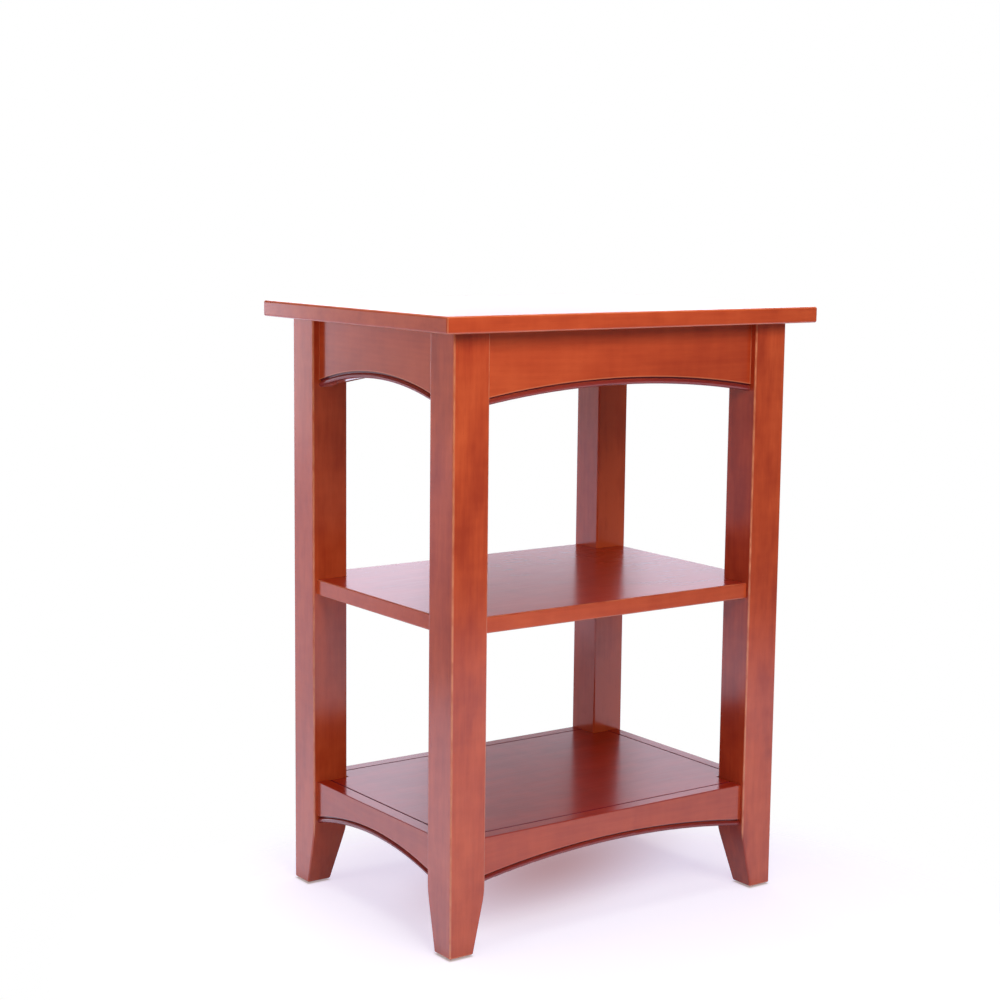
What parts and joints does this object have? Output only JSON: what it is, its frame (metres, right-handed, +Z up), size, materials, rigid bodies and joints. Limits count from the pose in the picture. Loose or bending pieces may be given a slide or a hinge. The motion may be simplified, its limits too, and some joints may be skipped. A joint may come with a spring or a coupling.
{
  "type": "end table",
  "caption": "Wooden end table: square legs with tapered feet, overhanging plain top, arched and beaded aprons, notched middle shelf, and a lower shelf panel let in between arched rails.",
  "frame": {"origin": "on the floor under the middle of the table", "axes": "+Z up, X along the table's width, front towards -Y"},
  "size_m": [0.508, 0.381, 0.686],
  "materials": {
    "stained_wood": "cherry red-brown stain under satin lacquer",
    "plain_wood": "sawn and sanded, unfinished",
    "dowel_wood": "turned, unfinished",
    "zinc_plated_steel": "bright zinc plated",
    "yellow_zinc_steel": "yellow zinc plated",
    "die_cast_zinc": "as cast",
    "glide_plastic": "moulded, matt"
  },
  "bodies": {
    "root": {"apron_back": "stained_wood", "apron_dowels": "dowel_wood", "apron_front": "stained_wood", "apron_left": "stained_wood", "apron_right": "stained_wood", "bolt_nuts": "zinc_plated_steel", "bolt_washers": "zinc_plated_steel", "cleat_screws": "yellow_zinc_steel", "corner_block_screws": "yellow_zinc_steel", "foot_glide_back_left": "glide_plastic", "foot_glide_back_right": "glide_plastic", "foot_glide_front_left": "glide_plastic", "foot_glide_front_right": "glide_plastic", "leg_back_left": "stained_wood", "leg_back_right": "stained_wood", "leg_front_left": "stained_wood", "leg_front_right": "stained_wood", "leg_hanger_bolts": "zinc_plated_steel", "lower_corner_block_back_left": "plain_wood", "lower_corner_block_back_right": "plain_wood", "lower_corner_block_front_left": "plain_wood", "lower_corner_block_front_right": "plain_wood", "lower_rail_back": "stained_wood", "lower_rail_dowels": "dowel_wood", "lower_rail_front": "stained_wood", "lower_rail_left": "stained_wood", "lower_rail_right": "stained_wood", "lower_shelf_panel": "stained_wood", "middle_shelf": "stained_wood", "panel_cleat_back": "plain_wood", "panel_cleat_front": "plain_wood", "panel_cleat_left": "plain_wood", "panel_cleat_right": "plain_wood", "shelf_cam_posts": "zinc_plated_steel", "shelf_cams": "die_cast_zinc", "shelf_dowels": "dowel_wood", "table_top": "stained_wood", "top_screws": "yellow_zinc_steel", "upper_corner_block_back_left": "plain_wood", "upper_corner_block_back_right": "plain_wood", "upper_corner_block_front_left": "plain_wood", "upper_corner_block_front_right": "plain_wood"}
  },
  "joints": []
}
